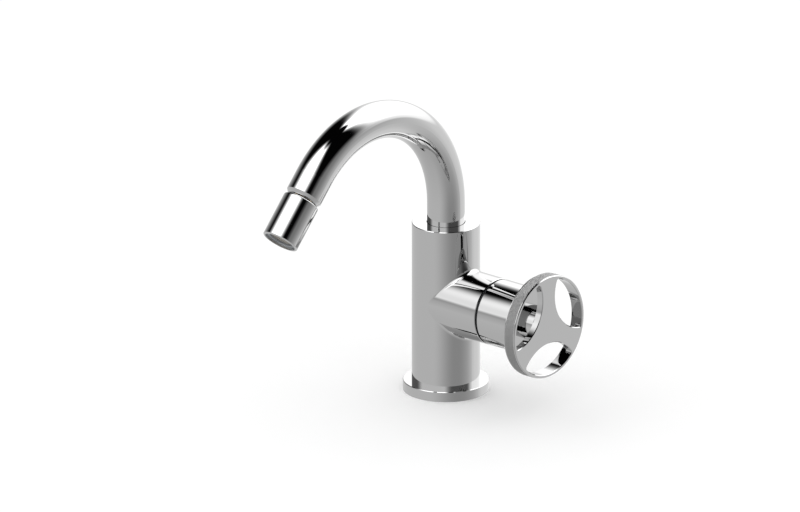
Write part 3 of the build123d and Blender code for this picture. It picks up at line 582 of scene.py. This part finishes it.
class MIXER_OT_screen(bpy.types.Operator):
    """Weave the wire screen in the nozzle's outlet."""

    bl_idname = "mixer.screen"
    bl_label = "Outlet screen"

    def execute(self, context):
        settings = context.scene.mixer_screen
        low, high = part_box("outlet_screen")
        centre = (low + high) / 2
        radius = (high.x - low.x) / 2
        down = Vector(joints["nozzle_spin"]["axis"])
        right = Vector(joints["handle_turn"]["axis"])
        across = down.cross(right)
        maker = bmesh.new()
        # The rim is a thicker ring of wire, where the weave is pressed together
        rim_wire = RIM_WIRES * settings.wire
        rim_radius = radius - rim_wire / 2
        turns = [2 * pi * run / RIM_RUNS for run in range(RIM_RUNS)]
        rim = [centre + (right * cos(turn) + across * sin(turn)) * rim_radius for turn in turns]
        sweep_wire(maker, rim, rim_wire, down, closed=True)
        count = int(2 * rim_radius / settings.mesh_pitch)
        for side, ahead, above in ((right, across, 1), (across, right, -1)):
            for number in range(count):
                aside = (number - (count - 1) / 2) * settings.mesh_pitch
                reach = sqrt(rim_radius ** 2 - aside ** 2)
                bends = max(round(2 * reach / settings.mesh_pitch * BENDS_PER_OPENING), 2)
                path = []
                for bend in range(bends + 1):
                    run = reach * (2 * bend / bends - 1)
                    crossing = run / settings.mesh_pitch + (count - 1) / 2
                    rise = above * cos(pi * (crossing + number)) * settings.wire / 2
                    path.append(centre + side * aside + ahead * run + down * rise)
                sweep_wire(maker, path, settings.wire, down)
        bmesh.ops.recalc_face_normals(maker, faces=maker.faces)
        piece = link_mesh("outlet_screen_weave", maker)
        piece.data.materials.append(self.wire_material(context))
        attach(piece, "nozzle")
        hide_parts("outlet_screen")
        return {"FINISHED"}

    def wire_material(self, context):
        """Return the finish of the screen's wire."""
        # Drawn steel wire, bright from the die: thin light lines over the dark of the outlet
        material = start_material("stainless_steel_drawn_wire")
        tree = material.node_tree
        close_surface(
            tree,
            height=mottle(tree, lump_mm=0.3),
            relief_mm=0.002,
            sockets={
                "Base Color": tuple(context.scene.mixer_metal.steel),
                "Metallic": 1.0,
                "Roughness": mottle(tree, lump_mm=1.0, low=0.15, high=0.3),
            },
        )
        return material


class MIXER_OT_brass(bpy.types.Operator):
    """Give the turned pieces inside their bare brass."""

    bl_idname = "mixer.brass"
    bl_label = "Turned brass"

    def execute(self, context):
        colour = context.scene.mixer_metal.brass
        for axis in sorted(set(TURNED_ABOUT.values())):
            # Bare brass off the lathe: yellow, satin, with rings round its axis. Real rings are about
            # 0.1 mm apart, too fine to show, so these are coarser
            material = start_material("brass_turned_about_" + axis)
            tree = material.node_tree
            close_surface(
                tree,
                height=turning_marks(tree, joints[axis], pitch_mm=0.5),
                relief_mm=0.006,
                sockets={
                    "Base Color": patchy(tree, colour, darkest=0.8, lump_mm=5.0),
                    "Metallic": 1.0,
                    "Roughness": mottle(tree, lump_mm=2.0, low=0.2, high=0.32),
                },
            )
            dress([node for node in nodes_of("brass") if TURNED_ABOUT[node] == axis], material)
        return {"FINISHED"}


class MIXER_OT_steel(bpy.types.Operator):
    """Give the screws, the pin and the inner screens their stainless steel."""

    bl_idname = "mixer.steel"
    bl_label = "Stainless steel"

    def execute(self, context):
        # Cold-headed steel, pickled after heading: warm grey and satin, so it stands apart from chrome
        material = start_material("stainless_steel_pickled")
        tree = material.node_tree
        close_surface(
            tree,
            height=mottle(tree, lump_mm=0.4),
            relief_mm=0.005,
            sockets={
                "Base Color": patchy(tree, context.scene.mixer_metal.steel, darkest=0.85, lump_mm=3.0),
                "Metallic": 1.0,
                "Roughness": mottle(tree, lump_mm=1.5, low=0.24, high=0.38),
            },
        )
        dress([node for node in nodes_of("stainless_steel") if node != "outlet_screen"], material)
        return {"FINISHED"}


class MIXER_OT_polymers(bpy.types.Operator):
    """Give the rubber, plastic and fibre pieces their materials."""

    bl_idname = "mixer.polymers"
    bl_label = "Rubber, plastics and fibre"

    def execute(self, context):
        settings = context.scene.mixer_polymer
        # Nitrile rubber from a blasted mould: near black, matt, with a faint grain
        self.mould(
            "black_rubber", "nitrile_rubber_moulded", settings.rubber,
            grain_mm=0.5, relief_mm=0.01, low_haze=0.5, high_haze=0.65,
        )
        # Acetal from a plain mould: a milky white with a soft shine
        self.mould(
            "white_plastic", "acetal_moulded", settings.white_plastic,
            grain_mm=0.8, relief_mm=0.004, low_haze=0.28, high_haze=0.4,
        )
        # Glass-filled nylon: near black and duller, because the fibres roughen its skin
        self.mould(
            "dark_plastic", "glass_filled_nylon_moulded", settings.dark_plastic,
            grain_mm=0.4, relief_mm=0.008, low_haze=0.4, high_haze=0.55,
        )
        # Acetal with grey pigment: the dark ground behind the bright wires of the outlet screen
        self.mould(
            "grey_plastic", "grey_acetal_moulded", settings.grey_plastic,
            grain_mm=0.8, relief_mm=0.004, low_haze=0.32, high_haze=0.45,
        )
        # Vulcanised fibre cut from sheet: red-brown and matt, with the pressed paper's flecks
        self.mould(
            "fibre", "vulcanised_fibre_pressed", settings.fibre,
            grain_mm=0.6, relief_mm=0.012, low_haze=0.6, high_haze=0.75,
        )
        return {"FINISHED"}

    def mould(self, slot, name, colour, grain_mm, relief_mm, low_haze, high_haze):
        """Give the pieces of a slot a moulded or pressed finish."""
        material = start_material(name)
        tree = material.node_tree
        close_surface(
            tree,
            height=mottle(tree, lump_mm=grain_mm),
            relief_mm=relief_mm,
            sockets={
                "Base Color": patchy(tree, colour, darkest=0.9, lump_mm=SHADE_GRAINS * grain_mm),
                "Roughness": mottle(tree, lump_mm=SHINE_LUMP_MM, low=low_haze, high=high_haze),
            },
        )
        dress(nodes_of(slot), material)


class MIXER_OT_ceramic(bpy.types.Operator):
    """Give the two sealing discs their lapped ceramic."""

    bl_idname = "mixer.ceramic"
    bl_label = "Ceramic"

    def execute(self, context):
        colour = context.scene.mixer_polymer.ceramic
        # Alumina, fired and lapped flat: ivory white, with a tight shine that is almost even
        material = start_material("alumina_fired_and_lapped")
        tree = material.node_tree
        close_surface(
            tree,
            height=mottle(tree, lump_mm=0.3),
            relief_mm=0.001,
            sockets={
                "Base Color": patchy(tree, colour, darkest=0.95, lump_mm=2.0),
                "Roughness": mottle(tree, lump_mm=4.0, low=0.1, high=0.18),
            },
        )
        dress(nodes_of("ceramic"), material)
        return {"FINISHED"}


class MIXER_OT_studio(bpy.types.Operator):
    """Build the floor, the lamps, the background and the cards that the chrome mirrors."""

    bl_idname = "mixer.studio"
    bl_label = "Studio"

    def execute(self, context):
        settings = context.scene.mixer_studio
        centre = (cad_box[0] + cad_box[1]) / 2
        self.lay_floor(settings)
        self.hang_cards(settings, centre)
        self.paint_background(context)
        self.set_lamps(context, centre)
        return {"FINISHED"}

    def lay_floor(self, settings):
        """Lay the round floor just under the gasket."""
        maker = bmesh.new()
        bmesh.ops.create_circle(
            maker, cap_ends=True, segments=STUDIO_SIDES, radius=settings.floor_radius
        )
        floor = link_mesh("studio_floor", maker)
        floor.location.z = cad_box[0].z - FLOOR_GAP
        # In the floor's place the chrome mirrors the lower half of the room of cards
        floor.visible_glossy = False
        # Matt white paper: it shows the mixer's soft shadow and no shine
        material = start_material("studio_floor_paper")
        tree = material.node_tree
        close_surface(
            tree,
            height=mottle(tree, lump_mm=0.5),
            relief_mm=0.01,
            sockets={
                "Base Color": tuple(settings.floor),
                "Roughness": FLOOR_HAZE,
                "Specular IOR Level": 0.0,
            },
        )
        floor.data.materials.append(material)

    def hang_cards(self, settings, centre):
        """Hang the room of cards round the mixer."""
        maker = bmesh.new()
        bmesh.ops.create_uvsphere(
            maker,
            u_segments=STUDIO_SIDES,
            v_segments=STUDIO_SIDES // 2,
            radius=settings.room_radius,
        )
        room = link_mesh("studio_cards", maker)
        room.location = centre
        # Only mirrors see the cards. They light nothing, so a plain surface shows its own colour
        for ray in ("camera", "diffuse", "transmission", "volume_scatter", "shadow"):
            setattr(room, "visible_" + ray, False)
        room.data.materials.append(self.card_material(settings))

    def card_material(self, settings):
        """Return the room's light: its tones by height, its lighter and darker parts and its windows."""
        material = start_material("studio_cards")
        # The chrome's own rays find the cards, so they aren't sampled as lamps
        material.cycles.emission_sampling = "NONE"
        tree = material.node_tree
        place = add_node(tree, "ShaderNodeTexCoord").outputs["Object"]
        unit = add_node(tree, "ShaderNodeVectorMath", {0: place}, operation="NORMALIZE").outputs[0]
        split = add_node(tree, "ShaderNodeSeparateXYZ", {0: unit})
        height = add_node(tree, "ShaderNodeMath", {0: split.outputs[2]}, operation="ARCSINE").outputs[0]
        height = add_node(tree, "ShaderNodeMath", {0: height}, operation="DEGREES").outputs[0]
        turn = add_node(
            tree, "ShaderNodeMath", {0: split.outputs[1], 1: split.outputs[0]}, operation="ARCTAN2"
        ).outputs[0]
        turn = add_node(tree, "ShaderNodeMath", {0: turn}, operation="DEGREES").outputs[0]
        share = add_node(
            tree, "ShaderNodeMapRange", {"Value": height, "From Min": -90.0, "From Max": 90.0}
        ).outputs["Result"]
        ramp = add_node(tree, "ShaderNodeValToRGB", {"Fac": share})
        while len(ramp.color_ramp.elements) < len(ROOM_TONES):
            ramp.color_ramp.elements.new(0.5)
        for stop, (degrees_up, colour) in zip(ramp.color_ramp.elements, ROOM_TONES):
            stop.position = (degrees_up + 90) / 180
            stop.color = linear(colour)
        tone = ramp.outputs["Color"]
        for patch in PATCHES:
            mask = self.card_mask(tree, turn, height, patch)
            tone = add_node(
                tree, "ShaderNodeMix", {0: mask, 6: tone, 7: linear(patch["colour"])}, data_type="RGBA"
            ).outputs[2]
        open_share = 0.0
        for window in WINDOWS:
            mask = self.card_mask(tree, turn, height, window)
            dimmed = add_node(
                tree,
                "ShaderNodeMapRange",
                {
                    "Value": height,
                    "From Min": window["bottom"],
                    "From Max": window["full_at"],
                    "To Min": window["share_at_bottom"],
                },
                interpolation_type="SMOOTHSTEP",
            ).outputs["Result"]
            mask = add_node(
                tree, "ShaderNodeMath", {0: mask, 1: dimmed}, operation="MULTIPLY"
            ).outputs[0]
            open_share = add_node(
                tree, "ShaderNodeMath", {0: open_share, 1: mask}, operation="MAXIMUM"
            ).outputs[0]
        tone = add_node(
            tree, "ShaderNodeMix", {0: open_share, 6: tone, 7: linear("#FFFFFF")}, data_type="RGBA"
        ).outputs[2]
        light = add_node(
            tree,
            "ShaderNodeMapRange",
            {"Value": open_share, "To Min": 1.0, "To Max": settings.card_light},
        ).outputs["Result"]
        glow = add_node(tree, "ShaderNodeEmission", {"Color": tone, "Strength": light})
        add_node(tree, "ShaderNodeOutputMaterial", {"Surface": glow.outputs[0]})
        return material

    def card_mask(self, tree, turn, height, card):
        """Return how far a direction is inside a card, from 0 to 1, with the card's soft edges."""
        middle = (card["from"] + card["to"]) / 2
        half = (card["to"] - card["from"]) / 2
        away = add_node(tree, "ShaderNodeMath", {0: turn, 1: middle}, operation="SUBTRACT").outputs[0]
        away = add_node(
            tree, "ShaderNodeMath", {0: away, 1: 180.0, 2: -180.0}, operation="WRAP"
        ).outputs[0]
        away = add_node(tree, "ShaderNodeMath", {0: away}, operation="ABSOLUTE").outputs[0]
        edges = (
            (away, half + card["side_blur"], half - card["side_blur"]),
            (height, card["bottom"] - card["bottom_blur"], card["bottom"] + card["bottom_blur"]),
            (height, card["top"] + card["top_blur"], card["top"] - card["top_blur"]),
        )
        mask = 1.0
        for value, outside, inside in edges:
            step = add_node(
                tree,
                "ShaderNodeMapRange",
                {"Value": value, "From Min": outside, "From Max": inside},
                interpolation_type="SMOOTHSTEP",
            ).outputs["Result"]
            mask = add_node(tree, "ShaderNodeMath", {0: mask, 1: step}, operation="MULTIPLY").outputs[0]
        return mask

    def paint_background(self, context):
        """Make the world white where it is seen or mirrored, and plain light everywhere else."""
        world = bpy.data.worlds.new("studio_background")
        context.scene.world = world
        world.use_nodes = True
        tree = world.node_tree
        tree.nodes.clear()
        rays = add_node(tree, "ShaderNodeLightPath")
        seen = rays.outputs["Is Camera Ray"]
        for kind in ("Is Glossy Ray", "Is Transmission Ray"):
            seen = add_node(
                tree, "ShaderNodeMath", {0: seen, 1: rays.outputs[kind]}, operation="MAXIMUM"
            ).outputs[0]
        light, white = (
            add_node(tree, "ShaderNodeBackground", {"Color": linear("#FFFFFF"), "Strength": strength})
            for strength in (WORLD_LIGHT, WORLD_SEEN)
        )
        both = add_node(
            tree, "ShaderNodeMixShader", {0: seen, 1: light.outputs[0], 2: white.outputs[0]}
        )
        add_node(tree, "ShaderNodeOutputWorld", {"Surface": both.outputs[0]})

    def set_lamps(self, context, centre):
        """Hang the soft boxes, which the chrome doesn't mirror."""
        for box in LAMPS:
            light = bpy.data.lights.new(box["name"], "AREA")
            light.shape = "SQUARE"
            light.size = box["width"]
            light.energy = box["power"]
            lamp = bpy.data.objects.new(box["name"], light)
            context.scene.collection.objects.link(lamp)
            aim(lamp, centre + Vector(box["offset"]), centre)
            lamp.visible_glossy = False


class MIXER_OT_camera(bpy.types.Operator):
    """Set the camera that looks at the mixer as the photograph does."""

    bl_idname = "mixer.camera"
    bl_label = "Camera"

    def execute(self, context):
        azimuth = radians(CAMERA_AZIMUTH)
        elevation = radians(CAMERA_ELEVATION)
        right = Vector((cos(azimuth), sin(azimuth), 0))
        up = Vector((-sin(azimuth) * sin(elevation), cos(azimuth) * sin(elevation), cos(elevation)))
        back = right.cross(up)
        metres_per_pixel = MM / PIXELS_PER_MM
        place = (
            right * (PHOTO_WIDTH / 2 - BASE_PIXEL[0]) * metres_per_pixel
            + up * (BASE_PIXEL[1] - PHOTO_HEIGHT / 2) * metres_per_pixel
            + back * CAMERA_DISTANCE
        )
        camera_data = bpy.data.cameras.new("camera")
        camera_data.type = "ORTHO"
        camera_data.ortho_scale = PHOTO_WIDTH * metres_per_pixel
        camera_data.clip_end = CAMERA_REACH
        camera = bpy.data.objects.new("camera", camera_data)
        context.scene.collection.objects.link(camera)
        camera.matrix_world = Matrix((right, up, back)).transposed().to_4x4()
        camera.location = place
        context.scene.camera = camera
        context.scene.view_settings.view_transform = "Standard"
        return {"FINISHED"}


class MIXER_PT_looks(bpy.types.Panel):
    """Lists the mixer's settings and its makers."""

    bl_idname = "MIXER_PT_looks"
    bl_label = "Bidet mixer"
    bl_space_type = "VIEW_3D"
    bl_region_type = "UI"
    bl_category = "Mixer"

    def draw(self, context):
        for name in SETTINGS:
            group = getattr(context.scene, name)
            for key in group.bl_rna.properties.keys():
                if key not in ("rna_type", "name"):
                    self.layout.prop(group, key)
        for operator in OPERATORS:
            self.layout.operator(operator.bl_idname)


SETTINGS = {
    "mixer_chrome": ChromeSettings,
    "mixer_knurl": KnurlSettings,
    "mixer_screen": ScreenSettings,
    "mixer_metal": MetalSettings,
    "mixer_polymer": PolymerSettings,
    "mixer_studio": StudioSettings,
}
OPERATORS = (
    MIXER_OT_chrome,
    MIXER_OT_knurl,
    MIXER_OT_screen,
    MIXER_OT_brass,
    MIXER_OT_steel,
    MIXER_OT_polymers,
    MIXER_OT_ceramic,
    MIXER_OT_studio,
    MIXER_OT_camera,
)


def register():
    for group in SETTINGS.values():
        bpy.utils.register_class(group)
    for operator in OPERATORS:
        bpy.utils.register_class(operator)
    bpy.utils.register_class(MIXER_PT_looks)
    for name, group in SETTINGS.items():
        setattr(bpy.types.Scene, name, bpy.props.PointerProperty(type=group))


def unregister():
    for name in SETTINGS:
        delattr(bpy.types.Scene, name)
    bpy.utils.unregister_class(MIXER_PT_looks)
    for operator in reversed(OPERATORS):
        bpy.utils.unregister_class(operator)
    for group in reversed(SETTINGS.values()):
        bpy.utils.unregister_class(group)


def main():
    register()
    for operator in OPERATORS:
        group, name = operator.bl_idname.split(".")
        getattr(getattr(bpy.ops, group), name)()


if __name__ == "__main__":
    main()
